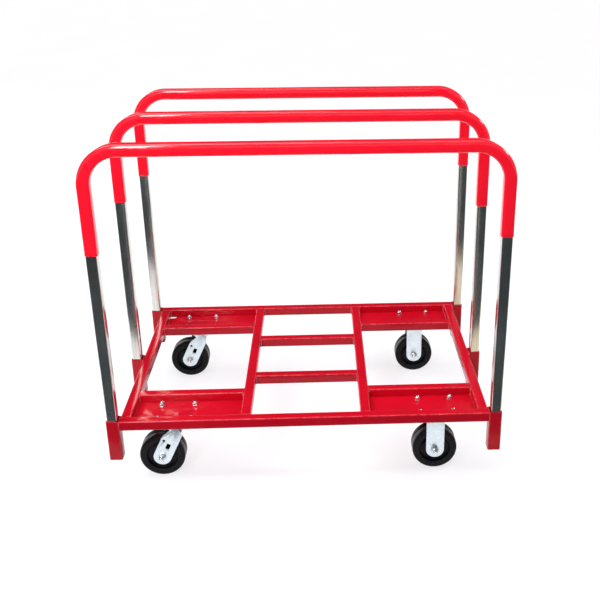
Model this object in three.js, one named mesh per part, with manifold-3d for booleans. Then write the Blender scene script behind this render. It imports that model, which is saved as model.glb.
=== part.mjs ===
// Panel and sheet-material cart: a welded square-tube deck on four casters,
// with three lift-out inverted-U hoops that stand in sockets at its two ends.
// Millimetres, +Z up. X runs along the deck, Y across it, and the origin is on
// the floor under the deck's centre. The swivel casters are at the -X end.

import * as THREE from 'three';
import { mergeVertices } from 'three/addons/utils/BufferGeometryUtils.js';
import Module from 'manifold-3d';

const wasm = await Module();
wasm.setup();

// ---------------------------------------------------------------- dimensions

const GAP = 0.3; // clearance left at every welded or seated joint

// Deck
const DECK_TOP = 212; // height of the deck's top face above the floor
const DECK_LENGTH = 1004; // over the two end rails
const DECK_WIDTH = 757; // over the two side rails
const TUBE = 28; // square deck tube
const TUBE_WALL = 2;
const TUBE_CORNER = 3.5;
const CROSSMEMBER_X = 164; // centre of each crossmember
const CENTRE_BAR_Y = 123; // centre of each bar in the middle bay
const TRAY_RAIL_Y = 220; // centre of each rail that closes a caster tray
const TRAY_PLATE = 5; // thickness
const TRAY_CORNER_X = 20; // open corner left in each swivel caster's tray plate
const TRAY_CORNER_Y = 15;

// Sockets for the hoop legs
const SOCKET = 35; // square
const SOCKET_WALL = 2;
const SOCKET_CORNER = 3.5;
const SOCKET_LENGTH = 119;
const SOCKET_FLOOR = 3;
const SOCKET_DRAIN = 4; // radius
const SOCKET_X = DECK_LENGTH / 2 + SOCKET / 2 + GAP;
const SOCKET_Y = DECK_WIDTH / 2 - SOCKET / 2;

// Hoops
const HOOP_TUBE = 28; // square
const HOOP_WALL = 2;
const HOOP_CORNER = 4;
const HOOP_BORE_CORNER = 2; // inside corners of the tube and the sleeve
const SLEEVE = 32.6; // square, outside
const SLEEVE_WALL = 2;
const SLEEVE_CORNER = 5.5;
const HOOP_TOP = 969; // over the sleeve
const HOOP_LEG_X = SOCKET_X + 1.2; // the legs spring out against the sockets
const BEND_RADIUS = 89; // to the tube's centre line
const BEND_STEPS = 6;
const HOOPS = [
  { name: 'front', y: -SOCKET_Y, sleeveLeft: 688, sleeveRight: 719 },
  { name: 'middle', y: 0, sleeveLeft: 715, sleeveRight: 687 },
  { name: 'rear', y: SOCKET_Y, sleeveLeft: 692, sleeveRight: 711 },
];

// Casters
const WHEEL_RADIUS = 63.5;
const WHEEL_WIDTH = 50.8;
const WHEEL_SIDES = 32;
const HUB_WIDTH = 56;
const FORK_INSIDE = 57.2;
const FORK_PLATE = 4;
const FORK_OUTSIDE = FORK_INSIDE + 2 * FORK_PLATE;
const FORK_BOTTOM_RADIUS = 25;
const MOUNT_PLATE_X = 114.3;
const MOUNT_PLATE_Y = 101.6;
const MOUNT_PLATE = 6; // thickness
const MOUNT_TOP = DECK_TOP - TUBE - GAP;
const MOUNT_BOTTOM = MOUNT_TOP - MOUNT_PLATE;
const BOLT_SPACING_X = 92.1;
const BOLT_SPACING_Y = 76.2;
const BOLT_RADIUS = 4.75;
const BOLT_HOLE_RADIUS = 5.5;
const BOLT_FLATS = 14.3; // across the flats of the head and nut
const CASTER_Y = 294;
const SWIVEL_X = -361; // kingpin
const SWIVEL_LEAD = 46; // kingpin to axle
const SWIVEL_LEAN = 0.445; // of the fork's legs, in radians
const RIGID_X = 363; // axle
const RUNNING_CLEARANCE = 0.05;
const AXLE_RADIUS = 6.35;
const BUSHING_RADIUS = 9.5;
const AXLE_FLATS = 19;
const KINGPIN_RADIUS = 6.35;
const RACE_RADIUS = 38;
const CROWN_BOTTOM = 160.5;
const CROWN_TOP = 166.5;
const RACE_BOTTOM = 172.6; // underside of the mounting plate's upper race

// Colours
const RED_PAINT = { color: 0xcf1020, roughness: 0.35, metalness: 0.1 };
const ZINC = { color: 0xb9bdc4, roughness: 0.28, metalness: 0.9 };
const RED_VINYL = { color: 0xe8162a, roughness: 0.22, metalness: 0.0 };
const BLACK_PHENOLIC = { color: 0x16171a, roughness: 0.3, metalness: 0.0 };

// ------------------------------------------------------------- solid helpers

// A closed solid from a three.js geometry, for boolean work.
function solidFrom(geometry) {
  const bare = geometry.index ? geometry.toNonIndexed() : geometry.clone();
  bare.deleteAttribute('normal');
  bare.deleteAttribute('uv');
  const welded = mergeVertices(bare, 1e-3);
  const mesh = new wasm.Mesh({
    numProp: 3,
    vertProperties: new Float32Array(welded.attributes.position.array),
    triVerts: new Uint32Array(welded.index.array),
  });
  return new wasm.Manifold(mesh);
}

function geometryFrom(solid) {
  const mesh = solid.getMesh();
  const geometry = new THREE.BufferGeometry();
  geometry.setAttribute('position', new THREE.BufferAttribute(mesh.vertProperties, 3));
  geometry.setIndex(new THREE.BufferAttribute(mesh.triVerts, 1));
  geometry.computeVertexNormals();
  return geometry;
}

function union(solids) {
  return solids.reduce((sum, solid) => sum.add(solid));
}

function subtract(solid, tools) {
  return tools.reduce((rest, tool) => rest.subtract(tool), solid);
}

function arcPoints(x, y, radius, from, to, steps) {
  const points = [];
  for (let i = 0; i <= steps; i += 1) {
    const angle = from + ((to - from) * i) / steps;
    points.push(new THREE.Vector2(x + radius * Math.cos(angle), y + radius * Math.sin(angle)));
  }
  return points;
}

// Corner points of a rectangle with rounded corners, centred on the origin.
function roundedRectangle(width, height, radius, steps) {
  const x = width / 2 - radius;
  const y = height / 2 - radius;
  const quarter = Math.PI / 2;
  return [
    ...arcPoints(x, y, radius, 0, quarter, steps),
    ...arcPoints(-x, y, radius, quarter, 2 * quarter, steps),
    ...arcPoints(-x, -y, radius, 2 * quarter, 3 * quarter, steps),
    ...arcPoints(x, -y, radius, 3 * quarter, 4 * quarter, steps),
  ];
}

// Outline extruded along +Z from zero height.
function prism(points, height, holes = []) {
  const shape = new THREE.Shape(points);
  shape.holes = holes.map((hole) => new THREE.Path(hole));
  return new THREE.ExtrudeGeometry(shape, { depth: height, bevelEnabled: false, steps: 1 });
}

function circle(x, y, radius, steps) {
  return arcPoints(x, y, radius, 0, 2 * Math.PI, steps).slice(0, steps);
}

// Round bar standing on z = bottom, centred at x, y.
function disc(x, y, bottom, top, radius, sides) {
  const geometry = new THREE.CylinderGeometry(radius, radius, top - bottom, sides);
  geometry.rotateX(Math.PI / 2);
  geometry.translate(x, y, (bottom + top) / 2);
  return solidFrom(geometry);
}

function hexagon(x, y, bottom, top, flats) {
  return disc(x, y, bottom, top, flats / Math.sqrt(3), 6);
}

function box(minX, maxX, minY, maxY, minZ, maxZ) {
  const geometry = new THREE.BoxGeometry(maxX - minX, maxY - minY, maxZ - minZ);
  geometry.translate((minX + maxX) / 2, (minY + maxY) / 2, (minZ + maxZ) / 2);
  return solidFrom(geometry);
}

// Corners of the rectangle of mounting bolts round a caster's centre.
function boltCentres(x, y) {
  const centres = [];
  for (const sideY of [-1, 1]) {
    for (const sideX of [-1, 1]) {
      centres.push([x + (sideX * BOLT_SPACING_X) / 2, y + (sideY * BOLT_SPACING_Y) / 2]);
    }
  }
  return centres;
}

const cart = new THREE.Group();
cart.name = 'panel_cart';

function addPiece(name, geometry, finish) {
  const mesh = new THREE.Mesh(geometry, new THREE.MeshStandardMaterial(finish));
  mesh.name = name;
  cart.add(mesh);
}

// ---------------------------------------------------------------------- deck

// Open-ended square tube lying along X or Y, with its top face on the deck plane.
function deckTube(name, axis, from, to, across) {
  const outer = roundedRectangle(TUBE, TUBE, TUBE_CORNER, 2);
  const bore = TUBE - 2 * TUBE_WALL;
  const inner = roundedRectangle(bore, bore, 1.5, 1);
  const tube = prism(outer, to - from, [inner]);
  if (axis === 'x') {
    tube.rotateY(Math.PI / 2);
    tube.translate(from, across, DECK_TOP - TUBE / 2);
  } else {
    tube.rotateX(-Math.PI / 2);
    tube.translate(across, from, DECK_TOP - TUBE / 2);
  }
  addPiece(name, tube, RED_PAINT);
}

function addDeck() {
  const railY = DECK_WIDTH / 2 - TUBE / 2;
  const endX = DECK_LENGTH / 2 - TUBE / 2;
  const innerY = DECK_WIDTH / 2 - TUBE - GAP;
  const bayStart = CROSSMEMBER_X + TUBE / 2 + GAP;
  const bayEnd = DECK_LENGTH / 2 - TUBE - GAP;
  const middle = CROSSMEMBER_X - TUBE / 2 - GAP;
  deckTube('side_rail_front', 'x', -DECK_LENGTH / 2, DECK_LENGTH / 2, -railY);
  deckTube('side_rail_rear', 'x', -DECK_LENGTH / 2, DECK_LENGTH / 2, railY);
  deckTube('end_rail_left', 'y', -innerY, innerY, -endX);
  deckTube('end_rail_right', 'y', -innerY, innerY, endX);
  deckTube('crossmember_left', 'y', -innerY, innerY, -CROSSMEMBER_X);
  deckTube('crossmember_right', 'y', -innerY, innerY, CROSSMEMBER_X);
  deckTube('centre_bar_front', 'x', -middle, middle, -CENTRE_BAR_Y);
  deckTube('centre_bar_rear', 'x', -middle, middle, CENTRE_BAR_Y);
  deckTube('tray_rail_front_left', 'x', -bayEnd, -bayStart, -TRAY_RAIL_Y);
  deckTube('tray_rail_front_right', 'x', bayStart, bayEnd, -TRAY_RAIL_Y);
  deckTube('tray_rail_rear_left', 'x', -bayEnd, -bayStart, TRAY_RAIL_Y);
  deckTube('tray_rail_rear_right', 'x', bayStart, bayEnd, TRAY_RAIL_Y);
}

// Flat plate in the bottom of a corner bay, which a caster bolts up to. It is
// drawn for the +X, +Y corner, and mirrored by the two signs. The outer corner
// stays open over a swivel caster.
function trayPlate(name, signX, signY, casterX) {
  const nearX = CROSSMEMBER_X + TUBE / 2 + GAP;
  const farX = DECK_LENGTH / 2 - TUBE - GAP;
  const nearY = TRAY_RAIL_Y + TUBE / 2 + GAP;
  const farY = DECK_WIDTH / 2 - TUBE - GAP;
  const cornerX = farX - TRAY_CORNER_X;
  const cornerY = farY - TRAY_CORNER_Y;
  const closedCorner = [new THREE.Vector2(farX, farY)];
  const openCorner = [
    new THREE.Vector2(farX, cornerY),
    new THREE.Vector2(cornerX + 6, cornerY),
    new THREE.Vector2(cornerX, cornerY + 6),
    new THREE.Vector2(cornerX, farY),
  ];
  const outline = [
    new THREE.Vector2(nearX, nearY),
    new THREE.Vector2(farX, nearY),
    ...(signX < 0 ? openCorner : closedCorner),
    new THREE.Vector2(nearX, farY),
  ].map((point) => new THREE.Vector2(point.x * signX, point.y * signY));
  const holes = boltCentres(casterX, CASTER_Y * signY).map(([x, y]) => {
    return circle(x, y, BOLT_HOLE_RADIUS, 8);
  });
  const plate = prism(outline, TRAY_PLATE, holes);
  plate.translate(0, 0, DECK_TOP - TUBE);
  addPiece(name, plate, RED_PAINT);
}

// Square socket for a hoop leg: open at the deck's level, with a drained floor.
function socket(name, x, y) {
  const outer = roundedRectangle(SOCKET, SOCKET, SOCKET_CORNER, 2);
  const bore = SOCKET - 2 * SOCKET_WALL;
  const inner = roundedRectangle(bore, bore, 1.5, 1);
  const body = prism(outer, SOCKET_LENGTH);
  const hollow = prism(inner, SOCKET_LENGTH);
  hollow.translate(0, 0, SOCKET_FLOOR);
  const drain = disc(0, 0, -5, SOCKET_FLOOR + 5, SOCKET_DRAIN, 8);
  const shell = geometryFrom(subtract(solidFrom(body), [solidFrom(hollow), drain]));
  shell.translate(x, y, DECK_TOP - SOCKET_LENGTH);
  addPiece(name, shell, RED_PAINT);
}

function addSockets() {
  for (const hoop of HOOPS) {
    socket(`socket_${hoop.name}_left`, -SOCKET_X, hoop.y);
    socket(`socket_${hoop.name}_right`, SOCKET_X, hoop.y);
  }
}

// --------------------------------------------------------------------- hoops

// Inverted-U centre line: up the left leg, over the top and down the right.
class HoopPath extends THREE.Curve {
  constructor(leftBottom, rightBottom) {
    super();
    const top = HOOP_TOP - SLEEVE / 2;
    const bendX = HOOP_LEG_X - BEND_RADIUS;
    const bendZ = top - BEND_RADIUS;
    this.stations = [[-HOOP_LEG_X, leftBottom, Math.PI / 2]];
    for (let i = 0; i <= BEND_STEPS; i += 1) {
      const turn = (Math.PI / 2) * (i / BEND_STEPS);
      const x = -bendX - BEND_RADIUS * Math.cos(turn);
      const z = bendZ + BEND_RADIUS * Math.sin(turn);
      this.stations.push([x, z, Math.PI / 2 - turn]);
    }
    for (let i = 0; i <= BEND_STEPS; i += 1) {
      const turn = (Math.PI / 2) * (i / BEND_STEPS);
      const x = bendX + BEND_RADIUS * Math.sin(turn);
      const z = bendZ + BEND_RADIUS * Math.cos(turn);
      this.stations.push([x, z, -turn]);
    }
    this.stations.push([HOOP_LEG_X, rightBottom, -Math.PI / 2]);
  }

  stationAt(u) {
    return this.stations[Math.round(u * (this.stations.length - 1))];
  }

  getPointAt(u) {
    const [x, z] = this.stationAt(u);
    return new THREE.Vector3(x, 0, z);
  }

  getTangentAt(u) {
    const angle = this.stationAt(u)[2];
    return new THREE.Vector3(Math.cos(angle), 0, Math.sin(angle));
  }
}

// Square tube bent along a hoop path.
function bentTube(path, size, wall, corner) {
  const shape = new THREE.Shape(roundedRectangle(size, size, corner, 2));
  const bore = size - 2 * wall;
  shape.holes = [new THREE.Path(roundedRectangle(bore, bore, HOOP_BORE_CORNER, 1))];
  const geometry = new THREE.ExtrudeGeometry(shape, {
    steps: path.stations.length - 1,
    bevelEnabled: false,
    extrudePath: path,
  });
  return geometryFrom(solidFrom(geometry));
}

function addHoops() {
  const legBottom = DECK_TOP - SOCKET_LENGTH + SOCKET_FLOOR + GAP;
  for (const hoop of HOOPS) {
    const tubePath = new HoopPath(legBottom, legBottom);
    const tube = bentTube(tubePath, HOOP_TUBE, HOOP_WALL, HOOP_CORNER);
    tube.translate(0, hoop.y, 0);
    addPiece(`hoop_tube_${hoop.name}`, tube, ZINC);
    const sleevePath = new HoopPath(hoop.sleeveLeft, hoop.sleeveRight);
    const sleeve = bentTube(sleevePath, SLEEVE, SLEEVE_WALL, SLEEVE_CORNER);
    sleeve.translate(0, hoop.y, 0);
    addPiece(`hoop_sleeve_${hoop.name}`, sleeve, RED_VINYL);
  }
}

// ------------------------------------------------------------------- casters

// Solid wheel with a rounded tread, a recess in each side and a long hub. The
// tread is made of flats, and one of them lies on the floor.
function addWheel(name, x, y) {
  const grow = 1 / Math.cos(Math.PI / WHEEL_SIDES);
  const half = WHEEL_WIDTH / 2;
  const side = [
    [BUSHING_RADIUS + RUNNING_CLEARANCE, HUB_WIDTH / 2],
    [17, HUB_WIDTH / 2],
    [19, half - 11],
    [42, half - 9],
    [45, half - 1.5],
    [WHEEL_RADIUS - 5, half],
    [WHEEL_RADIUS - 1.5, half - 1.5],
    [WHEEL_RADIUS, half - 5],
  ];
  const lower = side.map(([r, w]) => new THREE.Vector2(r * grow, -w));
  const upper = side.map(([r, w]) => new THREE.Vector2(r * grow, w)).reverse();
  const profile = [...lower, ...upper, lower[0].clone()];
  const halfFlat = Math.PI / WHEEL_SIDES;
  const wheel = new THREE.LatheGeometry(profile, WHEEL_SIDES, halfFlat, 2 * Math.PI);
  const geometry = geometryFrom(solidFrom(wheel));
  geometry.translate(x, y, WHEEL_RADIUS);
  addPiece(name, geometry, BLACK_PHENOLIC);
}

// Axle bolt with its head at the back, its nut at the front, and the bushing
// that the wheel turns on clamped between the fork's legs.
function addAxle(name, x, y) {
  const face = FORK_OUTSIDE / 2 + 0.2;
  const bushing = FORK_INSIDE / 2 - 0.2;
  const head = hexagon(0, 0, -face - 8, -face, AXLE_FLATS);
  const nut = hexagon(0, 0, face, face + 10.5, AXLE_FLATS);
  const shank = disc(0, 0, -face - 1, face + 16, AXLE_RADIUS, 12);
  const end = disc(0, 0, face + 15, face + 17.5, AXLE_RADIUS - 1.2, 12);
  const sleeve = disc(0, 0, -bushing, bushing, BUSHING_RADIUS, 24);
  const geometry = geometryFrom(union([head, nut, shank, end, sleeve]));
  geometry.rotateX(Math.PI / 2);
  geometry.translate(x, y, WHEEL_RADIUS);
  addPiece(name, geometry, ZINC);
}

// Both legs of a fork, from an outline drawn about the axle with y upwards.
function forkLegs(outline, windows, x, y) {
  const axleHole = circle(0, 0, AXLE_RADIUS + 0.25, 16);
  const leg = prism(outline, FORK_PLATE, [axleHole, ...windows]);
  leg.rotateX(Math.PI / 2);
  leg.translate(x, y, WHEEL_RADIUS);
  const front = leg.clone();
  front.translate(0, -FORK_INSIDE / 2, 0);
  const back = leg.clone();
  back.translate(0, FORK_OUTSIDE / 2, 0);
  return [solidFrom(front), solidFrom(back)];
}

function mountPlate(x, y) {
  const outline = roundedRectangle(MOUNT_PLATE_X, MOUNT_PLATE_Y, 8, 2);
  const plate = prism(outline, MOUNT_PLATE);
  plate.translate(x, y, MOUNT_BOTTOM);
  const holes = boltCentres(x, y).map(([holeX, holeY]) => {
    return disc(holeX, holeY, MOUNT_BOTTOM - 5, MOUNT_TOP + 5, BOLT_HOLE_RADIUS, 8);
  });
  return subtract(solidFrom(plate), holes);
}

// Fork of a rigid caster: two straight legs that flare into a mounting plate.
function addRigidFork(name, x, y) {
  const top = MOUNT_BOTTOM + 1 - WHEEL_RADIUS;
  const legs = forkLegs(
    [
      ...arcPoints(0, 2, FORK_BOTTOM_RADIUS + 0.5, -Math.PI, 0, 12),
      new THREE.Vector2(FORK_BOTTOM_RADIUS + 0.5, top - 22),
      new THREE.Vector2(FORK_BOTTOM_RADIUS + 4, top - 10),
      new THREE.Vector2(FORK_BOTTOM_RADIUS + 12, top),
      new THREE.Vector2(-FORK_BOTTOM_RADIUS - 12, top),
      new THREE.Vector2(-FORK_BOTTOM_RADIUS - 4, top - 10),
      new THREE.Vector2(-FORK_BOTTOM_RADIUS - 0.5, top - 22),
    ],
    [],
    x,
    y,
  );
  addPiece(name, geometryFrom(union([mountPlate(x, y), ...legs])), ZINC);
}

// Outline of a leaning leg: a rounded strip that leans from the axle towards
// the kingpin, with its shoulder cut back under the crown.
function swivelLegOutline() {
  const lean = new THREE.Vector2(Math.sin(SWIVEL_LEAN), Math.cos(SWIVEL_LEAN));
  const centre = new THREE.Vector2(1.5, 1.5);
  const start = Math.PI - SWIVEL_LEAN;
  const bottom = arcPoints(centre.x, centre.y, FORK_BOTTOM_RADIUS, start, start + Math.PI, 12);
  const outerTop = bottom[bottom.length - 1].clone().addScaledVector(lean, 104);
  const innerTop = bottom[0].clone().addScaledVector(lean, 58);
  const shoulder = bottom[0].clone().addScaledVector(lean, 63);
  const crown = CROWN_TOP - 1 - WHEEL_RADIUS;
  return [
    ...bottom,
    outerTop,
    new THREE.Vector2(SWIVEL_LEAD + 26, crown),
    new THREE.Vector2(SWIVEL_LEAD - 12, crown),
    new THREE.Vector2(SWIVEL_LEAD - 14, crown - 11),
    new THREE.Vector2(shoulder.x + 17, shoulder.y + 10),
    new THREE.Vector2(shoulder.x + 4, shoulder.y + 2),
    innerTop,
  ];
}

// Slot for a brake tab, leaning with the leg.
function brakeWindow() {
  const centre = new THREE.Vector2(19.5, 34.5);
  const corners = roundedRectangle(11, 17, 1.5, 1);
  return corners.map((point) => {
    return point.rotateAround(new THREE.Vector2(0, 0), -SWIVEL_LEAN).add(centre);
  });
}

// Fork of a swivel caster: two leaning legs under a crown that carries the
// lower ball race, bored for the kingpin.
function addSwivelFork(name, x, y) {
  const axleX = x - SWIVEL_LEAD;
  const windows = [circle(9.2, 53.5, 3.7, 12), brakeWindow()];
  const legs = forkLegs(swivelLegOutline(), windows, axleX, y);
  const half = FORK_OUTSIDE / 2;
  const bridge = box(x - 13, x + 27, y - half, y + half, CROWN_BOTTOM, CROWN_TOP);
  const crown = disc(x, y, CROWN_BOTTOM, CROWN_TOP, RACE_RADIUS - 1, 24);
  const race = disc(x, y, CROWN_TOP - 1, RACE_BOTTOM - GAP, RACE_RADIUS - 4, 24);
  const boreRadius = (KINGPIN_RADIUS + RUNNING_CLEARANCE) / Math.cos(Math.PI / 24);
  const bore = disc(x, y, CROWN_BOTTOM - 5, MOUNT_TOP, boreRadius, 24);
  const fork = subtract(union([...legs, bridge, crown, race]), [bore]);
  addPiece(name, geometryFrom(fork), ZINC);
}

// Top plate of a swivel caster, with the upper ball race under it and a
// counterbore that sinks the kingpin's head.
function addSwivelPlate(name, x, y) {
  const race = disc(x, y, RACE_BOTTOM, MOUNT_BOTTOM + 1, RACE_RADIUS, 24);
  const bore = disc(x, y, RACE_BOTTOM - 5, MOUNT_TOP + 5, KINGPIN_RADIUS + 0.3, 24);
  const counterbore = disc(x, y, MOUNT_TOP - 4.5, MOUNT_TOP + 5, 12.5, 24);
  const plate = subtract(union([mountPlate(x, y), race]), [bore, counterbore]);
  addPiece(name, geometryFrom(plate), ZINC);
}

function addKingpin(name, x, y) {
  const head = disc(x, y, MOUNT_TOP - 4.2, MOUNT_TOP - 0.3, 12, 24);
  const shank = disc(x, y, CROWN_BOTTOM - 12, MOUNT_TOP - 1, KINGPIN_RADIUS, 24);
  const nut = hexagon(x, y, CROWN_BOTTOM - 10, CROWN_BOTTOM - 0.3, AXLE_FLATS);
  addPiece(name, geometryFrom(union([head, shank, nut])), ZINC);
}

// Mounting bolt: head under the caster's plate, washer and nut on the tray.
function addMountingBolt(name, x, y) {
  const tray = DECK_TOP - TUBE + TRAY_PLATE;
  const under = MOUNT_BOTTOM - 0.2;
  const head = hexagon(x, y, under - 6, under, BOLT_FLATS);
  const shank = disc(x, y, under - 1, tray + 13, BOLT_RADIUS, 8);
  const washer = disc(x, y, tray + 0.2, tray + 1.6, 8.5, 12);
  const nut = hexagon(x, y, tray + 1.3, tray + 8.8, BOLT_FLATS);
  addPiece(name, geometryFrom(union([head, shank, washer, nut])), ZINC);
}

function addSwivelCaster(place, signY) {
  const y = CASTER_Y * signY;
  const axleX = SWIVEL_X - SWIVEL_LEAD;
  trayPlate(`tray_plate_${place}_left`, -1, signY, SWIVEL_X);
  addSwivelPlate(`swivel_plate_${place}`, SWIVEL_X, y);
  addKingpin(`kingpin_${place}`, SWIVEL_X, y);
  addSwivelFork(`swivel_fork_${place}`, SWIVEL_X, y);
  addWheel(`wheel_${place}_left`, axleX, y);
  addAxle(`axle_${place}_left`, axleX, y);
  boltCentres(SWIVEL_X, y).forEach(([boltX, boltY], i) => {
    addMountingBolt(`bolt_${place}_left_${i + 1}`, boltX, boltY);
  });
}

function addRigidCaster(place, signY) {
  const y = CASTER_Y * signY;
  trayPlate(`tray_plate_${place}_right`, 1, signY, RIGID_X);
  addRigidFork(`rigid_fork_${place}`, RIGID_X, y);
  addWheel(`wheel_${place}_right`, RIGID_X, y);
  addAxle(`axle_${place}_right`, RIGID_X, y);
  boltCentres(RIGID_X, y).forEach(([boltX, boltY], i) => {
    addMountingBolt(`bolt_${place}_right_${i + 1}`, boltX, boltY);
  });
}

addDeck();
addSockets();
addHoops();
addSwivelCaster('front', -1);
addSwivelCaster('rear', 1);
addRigidCaster('front', -1);
addRigidCaster('rear', 1);

export default cart;
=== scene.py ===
"""Looks of a panel cart: a red welded deck on casters with three lift-out hoops."""

import math

import bmesh
import bpy
from mathutils import Matrix, Vector, noise


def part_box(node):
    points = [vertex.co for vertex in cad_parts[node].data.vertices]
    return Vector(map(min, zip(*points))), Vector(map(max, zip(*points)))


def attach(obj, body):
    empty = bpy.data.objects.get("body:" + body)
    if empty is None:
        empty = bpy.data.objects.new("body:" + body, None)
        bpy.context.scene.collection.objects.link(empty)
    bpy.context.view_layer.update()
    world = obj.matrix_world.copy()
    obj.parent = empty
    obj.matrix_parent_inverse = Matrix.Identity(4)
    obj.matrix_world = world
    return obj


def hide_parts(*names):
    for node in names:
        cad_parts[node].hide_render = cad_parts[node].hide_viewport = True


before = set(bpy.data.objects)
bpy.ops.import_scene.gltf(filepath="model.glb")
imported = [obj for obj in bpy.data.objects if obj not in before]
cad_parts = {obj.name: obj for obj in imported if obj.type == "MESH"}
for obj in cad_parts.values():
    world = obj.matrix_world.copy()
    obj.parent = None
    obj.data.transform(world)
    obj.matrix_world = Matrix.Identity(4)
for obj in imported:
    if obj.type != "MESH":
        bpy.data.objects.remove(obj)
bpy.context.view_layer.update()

# ---------------------------------------------------------------- dimensions
# Metres. Places and outer sizes come from the CAD nodes' boxes.

TUBE_WALL = 0.002
TUBE_CORNER = 0.0035
RIM = 0.0006  # rounding of a tube's cut ends
SOCKET_FLOOR = 0.003
SOCKET_DRAIN = 0.004
HOOP_CORNER = 0.004
SLEEVE_WALL = 0.002
SLEEVE_CORNER = 0.0085
SLEEVE_BORE_CORNER = 0.0045
SLEEVE_LIP = 0.0006  # how far the middle of its wall hangs below its ends
BEND_RADIUS = 0.089
BEND_STEPS = 32
WRINKLE = 0.0004
WRINKLE_LENGTH = 0.011
WELD_RADIUS = 0.0027
WELD_RIPPLE = 0.0024
WELD_TAPER = 0.002
HUB_RADIUS = 0.017
BUSHING_RADIUS = 0.0095
AXLE_RADIUS = 0.00635
AXLE_FLATS = 0.019
AXLE_NUT_REACH = 0.0078  # where its threaded end starts
BOLT_RADIUS = 0.00475
BOLT_FLATS = 0.0143
BOLT_HEAD = 0.006
WASHER = 0.0014
BOLT_NUT_REACH = 0.0082  # where its threaded end starts, above the washer's foot
BOLT_HOLE_RADIUS = 0.0055
BOLT_SPACING = Vector((0.0921, 0.0762))
THREAD_PITCH = 0.0016
FORK_PLATE = 0.004
FORK_INSIDE = 0.0572
FORK_BEND = 0.007
CASTER_PLATE = 0.006
CROWN_TOP = 0.1665  # of a swivel fork, above the floor
SWIVEL_LEAD = 0.046  # from the axle to the kingpin
SWIVEL_LEAN = 0.445
SHEET_EDGE = 0.0009

PLACES = ("front", "middle", "rear")
ENDS = ("left", "right")
CORNERS = [(place, end) for place in ("front", "rear") for end in ENDS]
RAILS = [
    "side_rail_front",
    "side_rail_rear",
    "end_rail_left",
    "end_rail_right",
    "crossmember_left",
    "crossmember_right",
    "centre_bar_front",
    "centre_bar_rear",
    *[f"tray_rail_{place}_{end}" for place, end in CORNERS],
]
X, Y, Z = Vector((1, 0, 0)), Vector((0, 1, 0)), Vector((0, 0, 1))


def middle(node):
    low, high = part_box(node)
    return (low + high) / 2


# ----------------------------------------------------------------- materials


class Shader:
    """A node material built line by line round one Principled BSDF."""

    def __init__(self, name, **sockets):
        self.material = bpy.data.materials.new(name)
        self.material.use_nodes = True
        self.tree = self.material.node_tree
        self.bsdf = self.tree.nodes["Principled BSDF"]
        self.set(self.bsdf, **sockets)
        self.place = self.node("ShaderNodeTexCoord").outputs["Object"]

    def set(self, node, **sockets):
        for key, value in sockets.items():
            node.inputs[key.replace("_", " ")].default_value = value

    def node(self, kind, **settings):
        node = self.tree.nodes.new(kind)
        for key, value in settings.items():
            setattr(node, key, value)
        return node

    def link(self, source, target):
        self.tree.links.new(source, target)

    def stretched(self, scale):
        mapping = self.node("ShaderNodeMapping")
        mapping.inputs["Scale"].default_value = scale
        self.link(self.place, mapping.inputs["Vector"])
        return mapping.outputs["Vector"]

    def noise(self, scale, detail=3.0, roughness=0.5, vector=None, distortion=0.0):
        node = self.node("ShaderNodeTexNoise")
        self.set(node, Scale=scale, Detail=detail, Roughness=roughness, Distortion=distortion)
        self.link(vector or self.place, node.inputs["Vector"])
        return node.outputs["Fac"]

    def spread(self, value, low, high, to_low=0.0, to_high=1.0):
        node = self.node("ShaderNodeMapRange")
        self.link(value, node.inputs["Value"])
        node.inputs["From Min"].default_value = low
        node.inputs["From Max"].default_value = high
        node.inputs["To Min"].default_value = to_low
        node.inputs["To Max"].default_value = to_high
        return node.outputs["Result"]

    def maths(self, operation, a, b):
        node = self.node("ShaderNodeMath", operation=operation)
        for socket, value in zip(node.inputs, (a, b)):
            if isinstance(value, (int, float)):
                socket.default_value = value
            else:
                self.link(value, socket)
        return node.outputs[0]

    def mix(self, factor, a, b):
        node = self.node("ShaderNodeMix", data_type="RGBA")
        self.link(factor, node.inputs["Factor"])
        for socket, value in ((node.inputs[6], a), (node.inputs[7], b)):
            if isinstance(value, tuple):
                socket.default_value = (*value, 1.0)
            else:
                self.link(value, socket)
        return node.outputs[2]

    def edge(self):
        node = self.node("ShaderNodeAttribute", attribute_name="edge")
        return node.outputs["Fac"]

    def colour(self, value):
        self.link(value, self.bsdf.inputs["Base Color"])

    def roughness(self, value):
        self.link(value, self.bsdf.inputs["Roughness"])

    def bump(self, heights, distance):
        """Chains one bump for each (height, strength) pair."""
        normal = None
        for height, strength in heights:
            node = self.node("ShaderNodeBump")
            self.set(node, Strength=strength, Distance=distance)
            self.link(height, node.inputs["Height"])
            if normal is not None:
                self.link(normal, node.inputs["Normal"])
            normal = node.outputs["Normal"]
        self.link(normal, self.bsdf.inputs["Normal"])


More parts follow.
